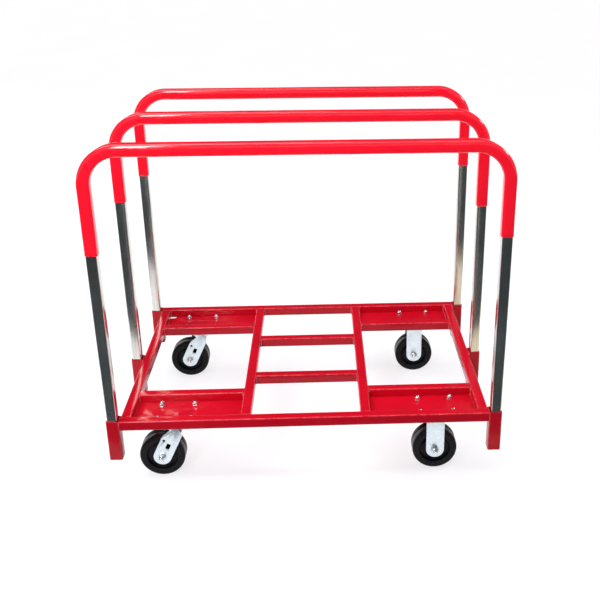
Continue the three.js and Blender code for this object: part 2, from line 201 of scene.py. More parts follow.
def red_paint():
    """Thick gloss enamel: slow colour drift, orange peel, specks, chips along edges, and edges
    lightened, partly thin paint and partly a painted highlight.
    """
    s = Shader("red_paint", Specular_IOR_Level=0.24, Coat_Weight=0.08, Coat_Roughness=0.06)
    drift = s.spread(s.noise(5.0, 2.0), 0.3, 0.7)
    base = s.mix(drift, (0.58, 0.003, 0.016), (0.68, 0.004, 0.020))
    speck = s.spread(s.noise(900.0, 1.0), 0.66, 0.74)
    base = s.mix(s.maths("MULTIPLY", speck, 0.25), base, (0.35, 0.01, 0.015))
    # Painted highlight: edges lightened to pale pink, partly thin paint and partly the light caught on
    # rounded edges, painted in.
    thin_edge_and_highlight = s.maths("MULTIPLY", s.edge(), s.spread(s.noise(60.0, 4.0, 0.65), 0.35, 0.65))
    base = s.mix(s.maths("MULTIPLY", thin_edge_and_highlight, 0.6), base, (0.90, 0.14, 0.17))
    chips = s.maths("MULTIPLY", s.edge(), s.spread(s.noise(220.0, 3.0, 0.6), 0.68, 0.70))
    base = s.mix(s.maths("MULTIPLY", chips, 0.8), base, (0.16, 0.13, 0.13))
    s.colour(base)
    s.roughness(s.spread(s.noise(35.0, 5.0, 0.65), 0.35, 0.8, 0.12, 0.26))
    s.bump([(s.noise(420.0, 2.0), 0.10), (s.noise(90.0, 2.0), 0.10)], 0.0008)
    return s.material


def zinc_tube():
    """Drawn and plated square tube: long faint draw lines, cloudy plating, bright specks and lighter
    rounded corners.
    """
    s = Shader("zinc_tube", Metallic=1.0)
    lines = s.noise(10.0, 5.0, 0.6, s.stretched((60.0, 60.0, 0.7)))
    cloud = s.noise(22.0, 4.0, 0.6, s.stretched((1.0, 1.0, 0.35)))
    base = s.mix(s.spread(cloud, 0.35, 0.7), (0.66, 0.65, 0.60), (0.84, 0.82, 0.76))
    base = s.mix(s.spread(lines, 0.52, 0.72, 0.0, 0.6), base, (0.34, 0.35, 0.35))
    specks = s.spread(s.noise(300.0, 2.0), 0.66, 0.72, 0.0, 0.8)
    base = s.mix(specks, base, (0.97, 0.98, 1.0))
    base = s.mix(s.maths("MULTIPLY", s.edge(), 0.35), base, (0.88, 0.89, 0.90))
    s.colour(base)
    both = s.maths("ADD", s.maths("MULTIPLY", lines, 0.6), s.maths("MULTIPLY", cloud, 0.4))
    s.roughness(s.spread(both, 0.3, 0.7, 0.10, 0.22))
    s.bump([(lines, 0.30), (s.noise(300.0, 2.0), 0.05)], 0.0005)
    return s.material


def red_vinyl():
    """Glossy vinyl sleeve: clean saturated red with faint waves from the shrink fit, and a painted
    glow.
    """
    s = Shader("red_vinyl", Specular_IOR_Level=0.5, Coat_Weight=0.35, Coat_Roughness=0.04)
    # Painted light: a faint red glow, though the sleeve is no lamp, lifts its faces brighter than the
    # paint.
    s.set(s.bsdf, Emission_Color=(1.0, 0.008, 0.026, 1.0), Emission_Strength=0.24)
    drift = s.spread(s.noise(9.0, 3.0), 0.3, 0.7)
    base = s.mix(drift, (0.88, 0.004, 0.020), (0.95, 0.006, 0.026))
    dust = s.spread(s.noise(160.0, 5.0, 0.7), 0.6, 0.85, 0.0, 0.12)
    base = s.mix(dust, base, (0.92, 0.12, 0.13))
    s.colour(base)
    s.roughness(s.spread(s.noise(45.0, 4.0, 0.6), 0.3, 0.75, 0.07, 0.17))
    s.bump([(s.noise(28.0, 2.0, 0.4), 0.45), (s.noise(260.0, 2.0), 0.04)], 0.0008)
    return s.material


def zinc_plate(name, light, dark, rough_low, rough_high):
    """Zinc plated pressings and fasteners: bright, slightly blue, softly mottled."""
    s = Shader(name, Metallic=1.0)
    cloud = s.noise(70.0, 4.0, 0.6, distortion=0.6)
    fine = s.noise(600.0, 2.0)
    base = s.mix(s.spread(cloud, 0.35, 0.7), dark, light)
    grime = s.spread(s.noise(180.0, 5.0, 0.75), 0.62, 0.8, 0.0, 0.4)
    base = s.mix(grime, base, tuple(0.55 * c for c in dark))
    base = s.mix(s.maths("MULTIPLY", s.edge(), 0.5), base, (0.95, 0.96, 0.97))
    s.colour(base)
    s.roughness(s.spread(cloud, 0.3, 0.75, rough_low, rough_high))
    s.bump([(fine, 0.08), (cloud, 0.12)], 0.0005)
    return s.material


def black_phenolic():
    """Moulded phenolic: near black, satin, with fine flow marks and a little dust."""
    s = Shader("black_phenolic", Specular_IOR_Level=0.12, Coat_Weight=0.04, Coat_Roughness=0.12)
    flow = s.noise(45.0, 5.0, 0.65, distortion=1.2)
    base = s.mix(s.spread(flow, 0.35, 0.75), (0.003, 0.003, 0.004), (0.009, 0.009, 0.011))
    dust = s.spread(s.noise(240.0, 6.0, 0.75), 0.60, 0.85, 0.0, 0.25)
    base = s.mix(dust, base, (0.04, 0.039, 0.040))
    base = s.mix(s.maths("MULTIPLY", s.edge(), 0.2), base, (0.05, 0.05, 0.055))
    s.colour(base)
    s.roughness(s.spread(flow, 0.3, 0.75, 0.22, 0.40))
    s.bump([(s.noise(500.0, 2.0), 0.06), (flow, 0.08)], 0.0006)
    return s.material


def weld_paint():
    """The deck's enamel, thin and glossy over the ripples of a weld, with pale pink patches of painted
    highlight.
    """
    s = Shader("weld_paint", Specular_IOR_Level=0.5, Coat_Weight=0.5, Coat_Roughness=0.06)
    drift = s.spread(s.noise(140.0, 3.0), 0.35, 0.7)
    # Painted highlight: pale pink patches mixed into the enamel so that the beads seem to catch the
    # light.
    s.colour(s.mix(drift, (0.58, 0.010, 0.025), (0.88, 0.16, 0.19)))
    s.roughness(s.spread(s.noise(80.0, 3.0), 0.3, 0.7, 0.16, 0.30))
    s.bump([(s.noise(500.0, 2.0), 0.12)], 0.0008)
    return s.material


def floor_white():
    """Pale paper floor with a glow of its own, which keeps the shadows on it faint."""
    s = Shader("floor_white", Specular_IOR_Level=0.1, Roughness=0.6, Emission_Strength=0.70)
    s.set(s.bsdf, Emission_Color=(1.0, 0.99, 1.0, 1.0))
    s.colour(s.mix(s.spread(s.noise(1.5, 3.0), 0.3, 0.7), (0.38, 0.38, 0.40), (0.40, 0.40, 0.42)))
    return s.material


PAINT = red_paint()
WELD = weld_paint()
TUBE_ZINC = zinc_tube()
VINYL = red_vinyl()
CASTER_ZINC = zinc_plate("caster_zinc", (0.82, 0.92, 0.95), (0.66, 0.75, 0.80), 0.22, 0.40)
BOLT_ZINC = zinc_plate("bolt_zinc", (0.78, 0.82, 0.86), (0.50, 0.54, 0.58), 0.16, 0.30)
PHENOLIC = black_phenolic()

# -------------------------------------------------------------- mesh helpers


class Skin:
    """Points and faces of one piece, with an "edge" value for each point."""

    def __init__(self):
        self.points = []
        self.faces = []
        self.edges = []

    def loft(self, loops, weights=None, cyclic=True):
        """A skin through loops of equally many points. Without cyclic its two ends are capped."""
        start, count = len(self.points), len(loops[0])
        for i, loop in enumerate(loops):
            self.points.extend(loop)
            self.edges.extend(weights[i] if weights else [0.0] * count)
        for i in range(len(loops) if cyclic else len(loops) - 1):
            a = start + i * count
            b = start + (i + 1) % len(loops) * count
            for k in range(count):
                n = (k + 1) % count
                self.faces.append((a + k, a + n, b + n, b + k))
        if not cyclic:
            end = start + (len(loops) - 1) * count
            self.faces.append(tuple(range(start, start + count)))
            self.faces.append(tuple(range(end, end + count)))
        return self

    def piece(self, name, material, sharp=40):
        mesh = bpy.data.meshes.new(name)
        mesh.from_pydata([tuple(p) for p in self.points], [], self.faces)
        edge = mesh.attributes.new("edge", "FLOAT", "POINT")
        edge.data.foreach_set("value", self.edges)
        return finished(name, mesh, material, sharp)


def finished(name, mesh, material, sharp):
    """An object of this mesh with outward faces, smooth shading and sharp creases."""
    work = bmesh.new()
    work.from_mesh(mesh)
    bmesh.ops.recalc_face_normals(work, faces=work.faces)
    work.to_mesh(mesh)
    work.free()
    mesh.shade_smooth()
    mesh.set_sharp_from_angle(angle=math.radians(sharp))
    mesh.materials.append(material)
    piece = bpy.data.objects.new(name, mesh)
    bpy.context.scene.collection.objects.link(piece)
    return piece


def hand_over(piece, body, slot, *nodes):
    """The piece rides on a body and stands for CAD nodes."""
    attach(piece, body)
    if nodes:
        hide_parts(*nodes)


def square_section(size, corner, steps):
    """(a, b, edge) round a square with rounded corners; edge is 1 in mid-corner."""
    half = size / 2 - corner
    points = []
    for quarter in range(4):
        side_a = 1 if quarter in (0, 3) else -1
        side_b = 1 if quarter in (0, 1) else -1
        for i in range(steps + 1):
            turn = (quarter + i / steps) * math.pi / 2
            a = side_a * half + corner * math.cos(turn)
            b = side_b * half + corner * math.sin(turn)
            points.append((a, b, math.sin(math.pi * i / steps)))
    return points


def placed(section, centre, u, v):
    return [centre + u * a + v * b for a, b, _ in section]


def open_tube(stations, size, wall, corner, steps=6):
    """Square tube along stations (centre, u, v), with its two end rims rounded off."""
    outer = square_section(size, corner, steps)
    inner = square_section(size - 2 * wall, max(corner - wall, 0.001), steps)
    tucked = square_section(size - 2 * RIM, corner - RIM / 2, steps)
    edge = [w for _, _, w in outer]
    full, none = [1.0] * len(outer), [0.0] * len(outer)
    along = (stations[1][0] - stations[0][0]).normalized() * RIM
    back = (stations[-2][0] - stations[-1][0]).normalized() * RIM
    (c0, u0, v0), (c1, u1, v1) = stations[0], stations[-1]
    loops = [placed(tucked, c0, u0, v0), placed(outer, c0 + along, u0, v0)]
    weights = [full, edge]
    for centre, u, v in stations[1:-1]:
        loops.append(placed(outer, centre, u, v))
        weights.append(edge)
    loops += [placed(outer, c1 + back, u1, v1), placed(tucked, c1, u1, v1)]
    weights += [edge, full]
    for centre, u, v in reversed(stations):
        loops.append(placed(inner, centre, u, v))
        weights.append(none)
    return Skin().loft(loops, weights)


def ring(centre, axis_a, axis_b, radius, count):
    turns = [2 * math.pi * k / count for k in range(count)]
    return [centre + (axis_a * math.cos(t) + axis_b * math.sin(t)) * radius for t in turns]


def square_to(axis):
    """Two directions square to the axis and to each other."""
    side = X if abs(axis.x) < 0.5 else Y
    a = (side - axis * side.dot(axis)).normalized()
    return a, axis.cross(a)


def lathe(skin, centre, axis, profile, count=64, cyclic=True):
    """Turns (radius, height, edge) points about an axis through centre."""
    a, b = square_to(axis)
    loops = [ring(centre + axis * h, a, b, r, count) for r, h, _ in profile]
    weights = [[w] * count for _, _, w in profile]
    return skin.loft(loops, weights, cyclic)


def hex_loop(centre, a, b, flats, height_of, axis, steps=6):
    """Round a hexagon, with height_of(radius) lifting each point along the axis."""
    loop = []
    for k in range(6 * steps):
        turn = k / (6 * steps) * 2 * math.pi
        off = (turn % (math.pi / 3)) - math.pi / 6
        radius = flats / 2 / math.cos(off)
        away = a * math.cos(turn) + b * math.sin(turn)
        loop.append(centre + away * radius + axis * height_of(radius))
    return loop


def hexagon(skin, centre, axis, flats, height, hole, domed=0.0):
    """Nut or bolt head standing on centre along axis, chamfered by a cone at its free end."""
    a, b = square_to(axis)
    slope = math.tan(math.radians(30))
    count = 36
    crown = flats / 2 * 0.94
    low = [0.2] * count
    loops = [
        ring(centre, a, b, hole, count),
        hex_loop(centre, a, b, flats * 0.985, lambda r: 0.0, axis),
        hex_loop(centre, a, b, flats, lambda r: 0.0004, axis),
        hex_loop(centre, a, b, flats, lambda r: height - (r - crown) * slope, axis),
        ring(centre + axis * height, a, b, crown, count),
    ]
    weights = [low, low, low, [0.9] * count, [0.7] * count]
    if domed:
        for share in (0.25, 0.5, 0.75, 1.0):
            turn = share * math.pi / 2
            radius = hole + (flats / 2 * 0.82 - hole) * math.cos(turn)
            spot = centre + axis * (height + domed * math.sin(turn))
            loops.append(ring(spot, a, b, radius, count))
            weights.append([0.4] * count)
    else:
        loops.append(ring(centre + axis * (height - 0.0004), a, b, hole, count))
        weights.append(low)
    return skin.loft(loops, weights)


def threaded(skin, centre, axis, radius, length, count=24):
    """Bolt end from centre along axis: a helical thread with a chamfered, flat tip."""
    a, b = square_to(axis)
    steps = max(4, int(length / THREAD_PITCH * 6))
    loops, weights = [], []
    for i in range(steps + 1):
        height = length * i / steps
        taper = min(1.0, (length - height) / (1.2 * THREAD_PITCH))
        loop, weight = [], []
        for k in range(count):
            share = k / count
            wave = abs(((height / THREAD_PITCH - share) % 1.0) * 2 - 1)
            reach = radius - 0.0007 * wave - 0.0009 * (1 - taper)
            turn = share * 2 * math.pi
            away = a * math.cos(turn) + b * math.sin(turn)
            loop.append(centre + away * reach + axis * height)
            weight.append(1.0 - wave)
        loops.append(loop)
        weights.append(weight)
    return skin.loft(loops, weights, cyclic=False)


def arc(x, y, radius, start, end, steps):
    turns = [start + (end - start) * i / steps for i in range(steps + 1)]
    return [(x + radius * math.cos(t), y + radius * math.sin(t)) for t in turns]


def rounded_rectangle(width, height, corner, steps=6):
    x, y, quarter = width / 2 - corner, height / 2 - corner, math.pi / 2
    return [
        *arc(x, y, corner, 0, quarter, steps),
        *arc(-x, y, corner, quarter, 2 * quarter, steps),
        *arc(-x, -y, corner, 2 * quarter, 3 * quarter, steps),
        *arc(x, -y, corner, 3 * quarter, 4 * quarter, steps),
    ]


def sheet_metal(outline, holes, thickness, edge=SHEET_EDGE):
    """A bmesh plate in the XY plane, from z 0 to its thickness, with rounded edges."""
    curve = bpy.data.curves.new("outline", "CURVE")
    curve.dimensions = "2D"
    curve.fill_mode = "BOTH"
    curve.extrude = thickness / 2 - edge
    curve.bevel_depth = edge
    curve.bevel_resolution = 2
    curve.offset = -edge
    for loop in (outline, *holes):
        spline = curve.splines.new("POLY")
        spline.points.add(len(loop) - 1)
        spline.use_cyclic_u = True
        for point, (x, y) in zip(spline.points, loop):
            point.co = (x, y, 0.0, 1.0)
    source = bpy.data.objects.new("outline", curve)
    bpy.context.scene.collection.objects.link(source)
    graph = bpy.context.evaluated_depsgraph_get()
    mesh = bpy.data.meshes.new_from_object(source.evaluated_get(graph))
    bpy.data.objects.remove(source)
    bpy.data.curves.remove(curve)
    work = bmesh.new()
    work.from_mesh(mesh)
    bpy.data.meshes.remove(mesh)
    bmesh.ops.remove_doubles(work, verts=work.verts, dist=1e-5)
    bmesh.ops.translate(work, verts=work.verts, vec=(0, 0, thickness / 2))
    bmesh.ops.dissolve_limit(
        work, angle_limit=math.radians(0.5), verts=work.verts, edges=work.edges
    )
    layer = work.verts.layers.float.new("edge")
    for vert in work.verts:
        on_face = abs(vert.co.z) < 1e-5 or abs(vert.co.z - thickness) < 1e-5
        vert[layer] = 0.0 if on_face else 1.0
    return work


def mesh_of(work, name):
    mesh = bpy.data.meshes.new(name)
    work.to_mesh(mesh)
    work.free()
    return mesh


def join(name, pieces):
    """One new object of all these objects' meshes, with the first one's material."""
    work = bmesh.new()
    for piece in pieces:
        work.from_mesh(piece.data)
    material = pieces[0].data.materials[0]
    mesh = mesh_of(work, name)
    mesh.materials.append(material)
    for piece in pieces:
        bpy.data.objects.remove(piece)
    joined = bpy.data.objects.new(name, mesh)
    bpy.context.scene.collection.objects.link(joined)
    return joined


# ---------------------------------------------------------------------- deck


def deck_tube(node):
    low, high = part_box(node)
    size = high.z - low.z
    centre = middle(node)
    length = high - low
    along, across = (X, Y) if length.x > length.y else (Y, X)
    half = along * (length.dot(along) / 2)
    stations = [(centre - half, across, Z), (centre + half, across, Z)]
    skin = open_tube(stations, size, TUBE_WALL, TUBE_CORNER)
    hand_over(skin.piece(f"{node}_tube", PAINT), "frame", "red_paint", node)


def socket(node):
    """Square socket: bevelled rim, hollow bore and a welded floor with a drain."""
    low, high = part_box(node)
    centre = (low + high) / 2
    size = high.x - low.x
    bore = size - 2 * TUBE_WALL
    outer = square_section(size, TUBE_CORNER, 6)
    tucked = square_section(size - 2 * RIM, TUBE_CORNER - RIM / 2, 6)
    inner = square_section(bore, 0.0015, 6)
    edge = [w for _, _, w in outer]
    full, none = [1.0] * len(outer), [0.0] * len(outer)
    turns = [math.atan2(b, a) for a, b, _ in inner]
    drain = [(SOCKET_DRAIN * math.cos(t), SOCKET_DRAIN * math.sin(t), 0) for t in turns]

    def level(section, z):
        return placed(section, Vector((centre.x, centre.y, z)), X, Y)

    floor_top = low.z + SOCKET_FLOOR
    loops = [
        level(tucked, low.z),
        level(outer, low.z + RIM),
        level(outer, high.z - RIM),
        level(tucked, high.z),
        level(inner, high.z - RIM / 2),
        level(inner, floor_top),
        level(drain, floor_top),
        level(drain, low.z),
    ]
    weights = [full, edge, edge, full, none, none, none, none]
    skin = Skin().loft(loops, weights)
    hand_over(skin.piece(f"{node}_shell", PAINT), "frame", "red_paint", node)


def tray_plate(place, end):
    """Tray floor with four bolt holes; its outer corner is open over a swivel caster."""
    node = f"tray_plate_{place}_{end}"
    low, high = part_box(node)
    sign_x = 1 if end == "right" else -1
    sign_y = 1 if place == "rear" else -1
    near_x, far_x = sorted((abs(low.x), abs(high.x)))
    near_y, far_y = sorted((abs(low.y), abs(high.y)))
    corner = [(far_x, far_y)]
    if end == "left":
        corner = [
            (far_x, far_y - 0.015),
            (far_x - 0.014, far_y - 0.015),
            (far_x - 0.020, far_y - 0.009),
            (far_x - 0.020, far_y),
        ]
    outline = [(near_x, near_y), (far_x, near_y), *corner, (near_x, far_y)]
    outline = [(x * sign_x, y * sign_y) for x, y in outline]
    bolts = [middle(f"bolt_{place}_{end}_{i}") for i in (1, 2, 3, 4)]
    holes = [arc(b.x, b.y, BOLT_HOLE_RADIUS, 0, 2 * math.pi, 24)[:-1] for b in bolts]
    work = sheet_metal(outline, holes, high.z - low.z, 0.0006)
    bmesh.ops.translate(work, verts=work.verts, vec=(0, 0, low.z))
    piece = finished(f"{node}_sheet", mesh_of(work, node), PAINT, 50)
    hand_over(piece, "frame", "red_paint", node)


def weld(skin, start, end, radius=WELD_RADIUS):
    """A rippled bead along a straight seam, tapering into it at both ends."""
    along = end - start
    length = along.length
    along.normalize()
    side = Z if abs(along.z) < 0.5 else X
    a = along.cross(side).normalized()
    b = along.cross(a)
    steps = max(8, int(length / WELD_RIPPLE * 5))
    loops = []
    for i in range(steps + 1):
        travel = length * i / steps
        spot = start + along * travel
        phase = (travel / WELD_RIPPLE + 0.3 * noise.noise(start * 40)) % 1.0
        scale = 0.9 + 0.1 * math.sin(math.pi * phase)
        scale *= 1 + 0.10 * noise.noise(spot * 160)
        taper = min(1.0, math.sqrt(min(travel, length - travel) / WELD_TAPER + 0.12))
        loops.append(ring(spot, a, b, radius * scale * taper, 10))
    skin.loft(loops, cyclic=False)


def corner_weld(skin, x, y, top, bottom, lean_x, lean_y, radius=WELD_RADIUS):
    """Upright bead in the inside corner at x, y, whose open side faces lean_x, lean_y."""
    inset = 0.35 * radius
    spot = Vector((x + inset * lean_x, y + inset * lean_y, 0))
    weld(skin, spot + Z * (bottom + 0.001), spot + Z * (top - 0.0022), radius)


def t_welds(skin, bar, host):
    """Beads up both sides and along the foot of the end where a bar meets a host rail."""
    low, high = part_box(bar)
    host_low, host_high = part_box(host)
    foot = low.z + 0.001
    if high.x - low.x > high.y - low.y:
        face = host_low.x if abs(high.x - host_low.x) < 0.001 else host_high.x
        lean = -1 if face == host_low.x else 1
        corner_weld(skin, face, low.y, high.z, low.z, lean, -1)
        corner_weld(skin, face, high.y, high.z, low.z, lean, 1)
        ends = Vector((face, low.y + 0.002, foot)), Vector((face, high.y - 0.002, foot))
    else:
        face = host_low.y if abs(high.y - host_low.y) < 0.001 else host_high.y
        lean = -1 if face == host_low.y else 1
        corner_weld(skin, low.x, face, high.z, low.z, -1, lean)
        corner_weld(skin, high.x, face, high.z, low.z, 1, lean)
        ends = Vector((low.x + 0.002, face, foot)), Vector((high.x - 0.002, face, foot))
    weld(skin, *ends, 0.002)


def deck_welds():
    skin = Skin()
    for end in ENDS:
        for place in ("front", "rear"):
            t_welds(skin, f"end_rail_{end}", f"side_rail_{place}")
            t_welds(skin, f"crossmember_{end}", f"side_rail_{place}")
            t_welds(skin, f"centre_bar_{place}", f"crossmember_{end}")
            t_welds(skin, f"tray_rail_{place}_{end}", f"crossmember_{end}")
            t_welds(skin, f"tray_rail_{place}_{end}", f"end_rail_{end}")
    hand_over(skin.piece("deck_welds", WELD, 60), "frame", "red_paint")


def socket_welds():
    """Upright beads that join each socket to the deck, and one across its floor."""
    skin = Skin()
    for end in ENDS:
        out = 1 if end == "right" else -1
        rail_low, rail_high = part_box(f"end_rail_{end}")
        face = rail_high.x if end == "right" else rail_low.x
        for place in PLACES:
            low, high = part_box(f"socket_{place}_{end}")
            for y, lean in ((low.y, -1), (high.y, 1)):
                past_rail_end = abs(y) > abs(rail_high.y)
                if past_rail_end:
                    spot = Vector((face + out * 0.0016, y - lean * 0.0026, 0))
                    bottom, top = spot + Z * (rail_low.z + 0.002), spot + Z * (rail_high.z - 0.002)
                    weld(skin, bottom, top, 0.0024)
                else:
                    corner_weld(skin, face, y, rail_high.z, rail_low.z, out, lean, 0.003)
            inner = low.x if end == "right" else high.x
            spot = Vector((inner + out * 0.001, 0, rail_low.z - 0.0006))
            weld(skin, spot + Y * (low.y + 0.004), spot + Y * (high.y - 0.004), 0.0024)
    hand_over(skin.piece("socket_welds", WELD, 60), "frame", "red_paint")


def tray_welds():
    """Short stitches that hold each tray plate to the rails round it."""
    skin = Skin()
    for place, end in CORNERS:
        low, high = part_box(f"tray_plate_{place}_{end}")
        z = low.z + 0.0003
        for share in (0.12, 0.42, 0.72):
            x = low.x + (high.x - low.x) * share
            for y in (low.y, high.y):
                weld(skin, Vector((x, y, z)), Vector((x + 0.035, y, z)), 0.0018)
    hand_over(skin.piece("tray_welds", WELD, 60), "frame", "red_paint")


# --------------------------------------------------------------------- hoops


def hoop_stations(leg_x, y, top, left_bottom, right_bottom, step):
    """(centre, u, v) up the left leg, over the top and down the right leg."""
    bend_x = leg_x - BEND_RADIUS
    bend_z = top - BEND_RADIUS
    stations = []

    def add(x, z, heading):
        normal = Vector((-math.sin(heading), 0, math.cos(heading)))
        stations.append((Vector((x, y, z)), Y.copy(), normal))

    count = max(1, round((bend_z - left_bottom) / step))
    for i in range(count):
        add(-leg_x, left_bottom + (bend_z - left_bottom) * i / count, math.pi / 2)
    for i in range(BEND_STEPS + 1):
        turn = math.pi / 2 * i / BEND_STEPS
        x, z = -bend_x - BEND_RADIUS * math.cos(turn), bend_z + BEND_RADIUS * math.sin(turn)
        add(x, z, math.pi / 2 - turn)
    count = max(1, round(2 * bend_x / step))
    for i in range(1, count):
        add(-bend_x + 2 * bend_x * i / count, top, 0)
    for i in range(BEND_STEPS + 1):
        turn = math.pi / 2 * i / BEND_STEPS
        x, z = bend_x + BEND_RADIUS * math.sin(turn), bend_z + BEND_RADIUS * math.cos(turn)
        add(x, z, -turn)
    count = max(1, round((bend_z - right_bottom) / step))
    for i in range(1, count + 1):
        add(leg_x, bend_z - (bend_z - right_bottom) * i / count, -math.pi / 2)
    return stations


def hoop_tube(place):
    node = f"hoop_tube_{place}"
    low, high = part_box(node)
    size = high.y - low.y
    leg_x = high.x - size / 2
    top = high.z - size / 2
    stations = hoop_stations(leg_x, middle(node).y, top, low.z, low.z, 0.25)
    skin = open_tube(stations, size, TUBE_WALL, HOOP_CORNER)
    hand_over(skin.piece(f"{node}_bent", TUBE_ZINC), f"hoop_{place}", "zinc_tube", node)


def sleeve_ends(place):
    """Heights of the CAD sleeve's two lower ends."""
    points = [v.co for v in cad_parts[f"hoop_sleeve_{place}"].data.vertices]
    left = min(p.z for p in points if p.x < 0)
    right = min(p.z for p in points if p.x > 0)
    return left, right


def sleeve(place, seed):
    """Vinyl sleeve: slow waves, wrinkles inside the bends and rolled lower lips."""
    node = f"hoop_sleeve_{place}"
    low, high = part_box(node)
    size = high.y - low.y
    leg_x = high.x - size / 2
    top = high.z - size / 2
    left, right = sleeve_ends(place)
    stations = hoop_stations(leg_x, middle(node).y, top, left, right, 0.008)
    outer = square_section(size, SLEEVE_CORNER, 7)
    inner = square_section(size - 2 * SLEEVE_WALL, SLEEVE_BORE_CORNER, 7)
    bend_z = top - BEND_RADIUS
    loops, weights = [], []
    travel = 0.0
    for i, (centre, u, v) in enumerate(stations):
        if i:
            travel += (centre - stations[i - 1][0]).length
        in_bend = centre.z > bend_z + 0.004 and abs(centre.x) > leg_x - BEND_RADIUS + 0.004
        loop = []
        for a, b, _ in outer:
            spot = centre + u * a + v * b
            wave = 0.00022 * (noise.noise(Vector((travel * 14, a * 60, b * 60 + seed))) - 0.7)
            if in_bend and b < 0:
                fold = math.sin(2 * math.pi * travel / WRINKLE_LENGTH)
                wave += WRINKLE * fold * (-b / size) - WRINKLE / 2
            away = (u * a + v * b).normalized()
            loop.append(spot + away * min(wave, 0.0))
        loops.append(loop)
        weights.append([w for _, _, w in outer])
    mid_wall = square_section(size - SLEEVE_WALL, (SLEEVE_CORNER + SLEEVE_BORE_CORNER) / 2, 7)
    lips = []
    for end in (0, -1):
        centre, u, v = stations[end]
        loop = []
        for a, b, _ in outer:
            droop = 0.0018 * noise.noise(Vector((a * 45, b * 45, seed + centre.x * 3)))
            loop.append(centre + u * a + v * b - Z * droop)
        loops[end] = loop
        lips.append(placed(mid_wall, centre - Z * SLEEVE_LIP, u, v))
    none = [0.0] * len(outer)
    inside = [placed(inner, centre, u, v) for centre, u, v in reversed(stations)]
    loops = [lips[0], *loops, lips[1], *inside]
    weights = [none, *weights, none, *[none] * len(inside)]
    skin = Skin().loft(loops, weights)
    hand_over(skin.piece(f"{node}_vinyl", VINYL, 60), f"hoop_{place}", "red_vinyl", node)


# ------------------------------------------------------------------- casters


def wheel(place, end):
    """Moulded wheel: crowned tread with a fine parting line, stepped recess, long hub."""
    node = f"wheel_{place}_{end}"
    low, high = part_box(node)
    centre = middle(node)
    radius = centre.z
    hub = (high.y - low.y) / 2
    half = hub - 0.0026
    side = [
        (BUSHING_RADIUS + 0.0001, hub - 0.0005, 0.0),
        (BUSHING_RADIUS + 0.0006, hub, 0.4),
        (HUB_RADIUS - 0.001, hub, 0.5),
        (HUB_RADIUS, hub - 0.001, 0.6),
        (0.0180, half - 0.0095, 0.0),
        (0.0205, half - 0.0118, 0.0),
        (0.0300, half - 0.0122, 0.0),
        (0.0395, half - 0.0112, 0.0),
        (0.0420, half - 0.0090, 0.0),
        (0.0436, half - 0.0020, 0.1),
        (0.0444, half - 0.0008, 0.7),
        (0.0456, half - 0.0002, 0.6),
        (0.0475, half, 0.1),
        (0.0570, half, 0.1),
        (0.0590, half - 0.0003, 0.3),
        (radius - 0.0024, half - 0.0012, 0.6),
        (radius - 0.0009, half - 0.0030, 0.5),
        (radius - 0.0002, half - 0.0055, 0.2),
        (radius, half - 0.0085, 0.0),
        (radius, 0.0012, 0.0),
        (radius - 0.0002, 0.0006, 0.4),
    ]
    profile = [(r, -w, e) for r, w, e in side] + [(r, w, e) for r, w, e in reversed(side)]
    skin = lathe(Skin(), centre, Y, profile, 96)
    hand_over(skin.piece(f"{node}_moulding", PHENOLIC, 50), node, "black_wheel", node)


def axle(place, end):
    """Axle bolt with a washered lock nut in front, a hex head behind and its bushing."""
    node = f"axle_{place}_{end}"
    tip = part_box(node)[0].y
    centre = middle(f"wheel_{place}_{end}")
    face = FORK_INSIDE / 2 + FORK_PLATE + 0.0002
    bushing = FORK_INSIDE / 2 - 0.0002
    skin = Skin()
    lathe(skin, centre, Y, [
        (AXLE_RADIUS + 0.0002, -bushing, 0.2),
        (BUSHING_RADIUS - 0.0007, -bushing, 0.6),
        (BUSHING_RADIUS - 0.00005, -bushing + 0.0006, 0.6),
        (BUSHING_RADIUS - 0.00005, bushing - 0.0006, 0.6),
        (BUSHING_RADIUS - 0.0007, bushing, 0.6),
        (AXLE_RADIUS + 0.0002, bushing, 0.2),
    ], 48)
    shank = [(AXLE_RADIUS, -face - 0.001, 0), (AXLE_RADIUS, face + 0.001, 0)]
    lathe(skin, centre, Y, shank, 32, False)
    front = centre - Y * face
    back = centre + Y * face
    hexagon(skin, front, -Y, AXLE_FLATS, 0.0080, AXLE_RADIUS - 0.0004, domed=0.0026)
    reach = abs(tip - front.y) - AXLE_NUT_REACH
    threaded(skin, front - Y * AXLE_NUT_REACH, -Y, AXLE_RADIUS, reach, 28)
    hexagon(skin, back, Y, AXLE_FLATS, 0.0078, 0.0005)
    body = f"swivel_{place}" if end == "left" else "frame"
    hand_over(skin.piece(f"{node}_hardware", BOLT_ZINC, 35), body, "zinc_bolt", node)


def mounting_bolt(place, end, number):
    """Hex head under the plate, washer, nut and threaded end on top of the tray."""
    node = f"bolt_{place}_{end}_{number}"
    low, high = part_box(node)
    centre = middle(node)
    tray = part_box(f"tray_plate_{place}_{end}")[1].z
    foot = Vector((centre.x, centre.y, tray + 0.0002))
    skin = Skin()
    lathe(skin, foot, Z, [
        (BOLT_RADIUS + 0.0004, 0.0, 0.1),
        (0.0082, 0.0, 0.5),
        (0.0085, 0.0004, 0.8),
        (0.0083, 0.0012, 0.8),
        (0.0078, WASHER, 0.2),
        (BOLT_RADIUS + 0.0004, WASHER, 0.1),
    ], 40)
    hexagon(skin, foot + Z * WASHER, Z, BOLT_FLATS, 0.0072, BOLT_RADIUS - 0.0004)
    reach = high.z - foot.z - BOLT_NUT_REACH
    threaded(skin, foot + Z * BOLT_NUT_REACH, Z, BOLT_RADIUS, reach)
    head = Vector((centre.x, centre.y, low.z + BOLT_HEAD))
    hexagon(skin, head, -Z, BOLT_FLATS, BOLT_HEAD, 0.0005)
    shank = [(BOLT_RADIUS, 0, 0), (BOLT_RADIUS, tray - head.z + 0.003, 0)]
    lathe(skin, head, Z, shank, 24, False)
    hand_over(skin.piece(f"{node}_hardware", BOLT_ZINC, 35), "frame", "zinc_bolt", node)


